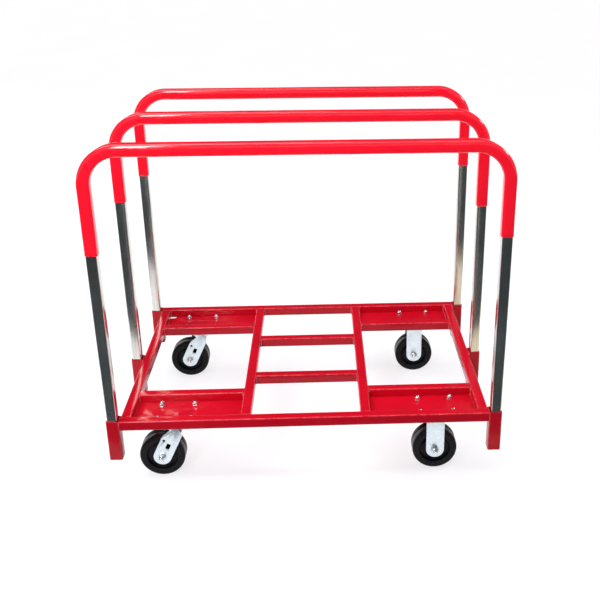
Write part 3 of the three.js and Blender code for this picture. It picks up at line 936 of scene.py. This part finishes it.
def caster_plate(node):
    """Rounded mounting plate with its four bolt holes, as a bmesh in place."""
    low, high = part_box(node)
    centre = middle(node)
    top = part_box("tray_plate_front_left")[0].z - 0.0003
    outline = rounded_rectangle(high.x - low.x, high.y - low.y, 0.008)
    holes = []
    for sx in (-0.5, 0.5):
        for sy in (-0.5, 0.5):
            x, y = BOLT_SPACING.x * sx, BOLT_SPACING.y * sy
            holes.append(arc(x, y, BOLT_HOLE_RADIUS, 0, 2 * math.pi, 24)[:-1])
    work = sheet_metal(outline, holes, CASTER_PLATE)
    bmesh.ops.translate(work, verts=work.verts, vec=(centre.x, centre.y, top - CASTER_PLATE))
    return work


def swivel_plate(place):
    """Mounting plate with the upper race pressed out below it."""
    node = f"swivel_plate_{place}"
    low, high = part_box(node)
    centre = middle(node)
    plate = finished("plate", mesh_of(caster_plate(node), "plate"), CASTER_ZINC, 50)
    drop = high.z - CASTER_PLATE - low.z
    race = lathe(Skin(), Vector((centre.x, centre.y, low.z)), Z, [
        (0.0070, 0.0, 0.2),
        (0.0345, 0.0, 0.2),
        (0.0372, 0.0006, 0.8),
        (0.0380, 0.0020, 0.5),
        (0.0380, drop - 0.001, 0.1),
        (0.0390, drop + 0.0004, 0.1),
        (0.0070, drop + 0.0004, 0.0),
    ], 72).piece("race", CASTER_ZINC, 50)
    piece = join(f"{node}_pressing", [plate, race])
    hand_over(piece, "frame", "zinc_caster", node)


def kingpin(place):
    """Swivel bolt: a flat round head at the top and a lock nut under the fork's crown."""
    node = f"kingpin_{place}"
    low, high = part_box(node)
    centre = middle(node)
    skin = Skin()
    foot = Vector((centre.x, centre.y, low.z))
    nut_top = 0.0117
    length = high.z - low.z
    lathe(skin, foot, Z, [
        (AXLE_RADIUS - 0.0010, 0.0, 0.7),
        (AXLE_RADIUS, 0.0012, 0.5),
        (AXLE_RADIUS, length - 0.0039, 0.0),
        (0.0115, length - 0.0039, 0.4),
        (0.0120, length - 0.0030, 0.5),
        (0.0118, length - 0.0006, 0.6),
        (0.0100, length, 0.3),
    ], 48, False)
    nut = foot + Z * nut_top
    hexagon(skin, nut, -Z, AXLE_FLATS, 0.0095, AXLE_RADIUS - 0.0004, domed=0.0015)
    hand_over(skin.piece(f"{node}_hardware", BOLT_ZINC, 35), "frame", "zinc_bolt", node)


def folded_leg(outline, holes, fold_height, side):
    """A leg blank in (x, height from the axle), folded inward above fold_height.

    side is -1 for the front leg and 1 for the back one.
    """
    work = sheet_metal(outline, holes, FORK_PLATE)
    bend = FORK_BEND + FORK_PLATE
    sweep = bend * math.pi / 2
    for i in range(9):
        cut = fold_height + sweep * i / 8
        geometry = work.verts[:] + work.edges[:] + work.faces[:]
        bmesh.ops.bisect_plane(work, geom=geometry, plane_co=(0, cut, 0), plane_no=(0, 1, 0))
    for vert in work.verts:
        x, h, depth = vert.co
        outward = FORK_INSIDE / 2 + depth
        past = h - fold_height
        if past <= 0:
            y, z = outward, h
        elif past < sweep:
            turn = past / bend
            pivot = FORK_INSIDE / 2 - FORK_BEND
            radius = outward - pivot
            y = pivot + radius * math.cos(turn)
            z = fold_height + radius * math.sin(turn)
        else:
            pivot = FORK_INSIDE / 2 - FORK_BEND
            y = pivot - (past - sweep)
            z = fold_height + (outward - pivot)
        vert.co = (x, y * side, z)
    return work


def leaning_leg(crown_height):
    """Outline and fold height of a swivel fork's leg, from the axle.

    It is a rounded foot, a leaning strip and half of the crown.
    """
    lean = Vector((math.sin(SWIVEL_LEAN), math.cos(SWIVEL_LEAN)))
    start = math.pi - SWIVEL_LEAN
    bend = FORK_BEND + FORK_PLATE
    fold = crown_height - bend
    centre_line = fold + bend * math.pi / 2 + FORK_INSIDE / 2 - FORK_BEND
    foot = arc(0.0015, 0.0015, 0.025, start, start + math.pi, 28)
    right = Vector(foot[-1])
    left = Vector(foot[0])
    right_top = right + lean * 0.088
    shoulder = left + lean * 0.062
    right_crown = arc(SWIVEL_LEAD, centre_line, 0.037, -math.pi / 2, 0, 12)
    left_crown = arc(SWIVEL_LEAD, centre_line, 0.037, math.pi, 1.5 * math.pi, 12)
    outline = [
        *foot,
        tuple(right_top),
        *[p for p in right_crown if p[1] > right_top.y + 0.004],
        *[p for p in left_crown if p[1] > fold + 0.008],
        (SWIVEL_LEAD - 0.030, fold + 0.004),
        (SWIVEL_LEAD - 0.017, fold - 0.006),
        (shoulder.x + 0.010, shoulder.y + 0.0065),
        (shoulder.x + 0.004, shoulder.y + 0.0030),
        (shoulder.x + 0.0008, shoulder.y - 0.0010),
        (left.x + lean.x * 0.056, left.y + lean.y * 0.056),
    ]
    return outline, fold


def tilted(points, angle, x, y):
    c, s = math.cos(angle), math.sin(angle)
    return [(px * c - py * s + x, px * s + py * c + y) for px, py in points]


def swivel_fork(place):
    """Two leaning legs folded into a crown, with the lower race domed over it."""
    node = f"swivel_fork_{place}"
    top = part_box(node)[1].z
    axle_spot = middle(f"wheel_{place}_left")
    pin = middle(f"kingpin_{place}")
    outline, fold = leaning_leg(CROWN_TOP - axle_spot.z)
    holes = [
        arc(0, 0, AXLE_RADIUS + 0.0003, 0, 2 * math.pi, 24)[:-1],
        arc(0.0092, 0.0535, 0.0037, 0, 2 * math.pi, 20)[:-1],
        tilted(rounded_rectangle(0.011, 0.017, 0.0015, 3), -SWIVEL_LEAN, 0.0195, 0.0345),
    ]
    legs = []
    for side in (-1, 1):
        work = folded_leg(outline, holes, fold, side)
        bmesh.ops.translate(work, verts=work.verts, vec=axle_spot)
        legs.append(finished("leg", mesh_of(work, "leg"), CASTER_ZINC, 50))
    race = lathe(Skin(), Vector((pin.x, pin.y, 0)), Z, [
        (AXLE_RADIUS + 0.00005, 0.1640, 0.2),
        (0.0300, 0.1640, 0.0),
        (0.0362, 0.1655, 0.2),
        (0.0372, 0.1668, 0.7),
        (0.0372, 0.1680, 0.7),
        (0.0355, 0.1692, 0.3),
        (0.0346, 0.1705, 0.1),
        (0.0340, top - 0.0006, 0.5),
        (0.0332, top, 0.4),
        (AXLE_RADIUS + 0.00005, top, 0.0),
    ], 72).piece("race", CASTER_ZINC, 50)
    piece = join(f"{node}_pressing", [*legs, race])
    hand_over(piece, f"swivel_{place}", "zinc_caster", node)


def rigid_fork(place):
    """Two straight legs that flare into the mounting plate, with welded seams."""
    node = f"rigid_fork_{place}"
    plate_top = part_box(node)[1].z
    axle_spot = middle(f"wheel_{place}_right")
    plate = finished("plate", mesh_of(caster_plate(node), "plate"), CASTER_ZINC, 50)
    top = plate_top - 0.0055 - axle_spot.z
    half = 0.0255
    right = arc(half + 0.012, top - 0.012, 0.012, math.pi, math.pi / 2, 8)
    left = [(-x, y) for x, y in reversed(right)]
    outline = [*arc(0, 0.002, half, -math.pi, 0, 28), *right, *left]
    holes = [arc(0, 0, AXLE_RADIUS + 0.0003, 0, 2 * math.pi, 24)[:-1]]
    pieces = [plate]
    for side in (-1, 1):
        work = sheet_metal(outline, holes, FORK_PLATE)
        for vert in work.verts:
            x, h, depth = vert.co
            vert.co = Vector((x, (FORK_INSIDE / 2 + depth) * side, h)) + axle_spot
        pieces.append(finished("leg", mesh_of(work, "leg"), CASTER_ZINC, 50))
        seam = Skin()
        for edge in (FORK_INSIDE / 2, FORK_INSIDE / 2 + FORK_PLATE):
            spot = Vector((axle_spot.x, axle_spot.y + side * edge, plate_top - 0.0062))
            weld(seam, spot - X * 0.034, spot + X * 0.034, 0.0022)
        pieces.append(seam.piece("seam", CASTER_ZINC, 60))
    piece = join(f"{node}_pressing", pieces)
    hand_over(piece, "frame", "zinc_caster", node)


# --------------------------------------------------------------- the studio


def camera():
    """Stands in front of the cart and a little right of its middle, looking down."""
    yaw, pitch, roll = 0.0440, 0.3889, -0.0025
    right = Vector((math.cos(yaw), -math.sin(yaw), 0))
    ahead = Vector((math.sin(yaw) * math.cos(pitch), math.cos(yaw) * math.cos(pitch), -math.sin(pitch)))
    up = right.cross(ahead)
    turned_right = right * math.cos(roll) + up * math.sin(roll)
    turned_up = up * math.cos(roll) - right * math.sin(roll)
    data = bpy.data.cameras.new("camera")
    data.lens = 52.72
    data.shift_x = -0.0982
    data.shift_y = -0.0357
    data.clip_end = 100
    made = bpy.data.objects.new("camera", data)
    axes = Matrix((turned_right, turned_up, -ahead)).transposed()
    made.matrix_world = Matrix.Translation((0.0545, -2.4426, 1.4626)) @ axes.to_4x4()
    bpy.context.scene.collection.objects.link(made)
    bpy.context.scene.camera = made


def lying(x0, x1, y0, y1, z=0.004):
    return [(x0, y0, z), (x1, y0, z), (x1, y1, z), (x0, y1, z)]


def upright(x0, x1, y, z0, z1):
    return [(x0, y, z0), (x1, y, z0), (x1, y, z1), (x0, y, z1)]


def sheet_object(name, corners, material):
    """A flat four-cornered sheet that belongs to the studio."""
    mesh = bpy.data.meshes.new(name)
    mesh.from_pydata(corners, [], [(0, 1, 2, 3)])
    mesh.materials.append(material)
    made = bpy.data.objects.new(name, mesh)
    bpy.context.scene.collection.objects.link(made)
    return made


def card(name, corners, dark, light):
    """A card that is seen only in reflections."""
    s = Shader(f"{name}_card", Specular_IOR_Level=0.0, Roughness=1.0)
    s.colour(s.mix(s.spread(s.noise(2.0, 2.0), 0.3, 0.7), dark, light))
    made = sheet_object(name, corners, s.material)
    made.visible_camera = False
    made.visible_diffuse = False
    made.visible_shadow = False


def cards():
    """Dark cards round the white floor and behind it, and a cream one on it at the right."""
    near_x, near_y, far_y, reach = 1.25, 0.60, 1.35, 7.0
    dark, light = (0.030, 0.037, 0.043), (0.062, 0.072, 0.080)
    card("dark_front", lying(-reach, reach, -reach, -near_y), dark, light)
    card("dark_left", lying(-reach, -near_x, -near_y, far_y), dark, light)
    card("dark_right", lying(near_x, reach, -near_y, far_y), dark, light)
    card("dark_wall", upright(-reach, reach, 4.0, 1.35, 5.0), dark, light)
    card("cream", lying(0.50, near_x, -near_y, 0.20), (0.78, 0.69, 0.52), (0.88, 0.80, 0.62))


def backdrop():
    """Pale paper all round, far behind the floor's edges, that only the camera sees."""
    s = Shader("backdrop_white", Specular_IOR_Level=0.0, Roughness=1.0, Emission_Strength=0.97)
    s.set(s.bsdf, Emission_Color=(1.0, 1.0, 1.0, 1.0))
    s.colour(s.mix(s.spread(s.noise(0.5, 2.0), 0.3, 0.7), (0.50, 0.50, 0.51), (0.54, 0.54, 0.55)))
    far, high = 29.0, 40.0
    corners = [(-far, -far), (far, -far), (far, far), (-far, far)]
    for i, (x, y) in enumerate(corners):
        next_x, next_y = corners[(i + 1) % 4]
        outline = [(x, y, 0.0), (next_x, next_y, 0.0), (next_x, next_y, high), (x, y, high)]
        made = sheet_object(f"backdrop_{i + 1}", outline, s.material)
        made.visible_diffuse = False
        made.visible_glossy = False
        made.visible_shadow = False


def area_light(name, place, target, width, height, power):
    """A rectangular lamp at a place, aimed at a target, that the camera doesn't see."""
    data = bpy.data.lights.new(name, "AREA")
    data.shape = "RECTANGLE"
    data.size = width
    data.size_y = height
    data.energy = power
    made = bpy.data.objects.new(name, data)
    made.location = place
    made.rotation_mode = "QUATERNION"
    made.rotation_quaternion = (Vector(target) - Vector(place)).to_track_quat("-Z", "Y")
    made.visible_camera = False
    bpy.context.scene.collection.objects.link(made)


def world_light():
    world = bpy.data.worlds.new("studio")
    world.use_nodes = True
    background = world.node_tree.nodes["Background"]
    background.inputs["Color"].default_value = (0.97, 0.98, 1.0, 1.0)
    background.inputs["Strength"].default_value = 0.33
    bpy.context.scene.world = world


def sun_light():
    """Broad soft light from high on the left, travelling a little towards the front."""
    data = bpy.data.lights.new("sky_panel", "SUN")
    data.energy = 1.5
    data.angle = math.radians(50)
    made = bpy.data.objects.new("sky_panel", data)
    made.rotation_mode = "QUATERNION"
    made.rotation_quaternion = Vector((0.42, -0.12, -1.0)).to_track_quat("-Z", "Y")
    bpy.context.scene.collection.objects.link(made)


def studio():
    floor = sheet_object("floor", lying(-30, 30, -30, 40, 0.0), floor_white())
    floor.visible_diffuse = False
    backdrop()
    cards()
    world_light()
    sun_light()
    area_light("strip_left", (-0.78, -1.95, 1.75), (-0.68, -0.4, 1.6), 0.20, 1.9, 26)
    area_light("strip_front", (0.1, -1.0, 2.8), (0.1, -0.4, 0.3), 2.4, 0.35, 15)
    area_light("strip_right", (1.9, -0.05, 1.65), (0.5, -0.05, 0.9), 0.9, 0.25, 10)
    area_light("strip_back", (-1.6, 3.6, 0.40), (0.0, 0.0, 0.1), 2.6, 0.4, 8)
    bpy.context.scene.view_settings.view_transform = "Standard"


# ------------------------------------------------------------------ assembly

camera()
for rail in RAILS:
    deck_tube(rail)
for place in PLACES:
    for end in ENDS:
        socket(f"socket_{place}_{end}")
deck_welds()
socket_welds()
tray_welds()
for seed, place in enumerate(PLACES):
    hoop_tube(place)
    sleeve(place, 10.0 * seed)
for place, end in CORNERS:
    tray_plate(place, end)
    wheel(place, end)
    axle(place, end)
    for number in (1, 2, 3, 4):
        mounting_bolt(place, end, number)
for place in ("front", "rear"):
    swivel_plate(place)
    kingpin(place)
    swivel_fork(place)
    rigid_fork(place)
studio()
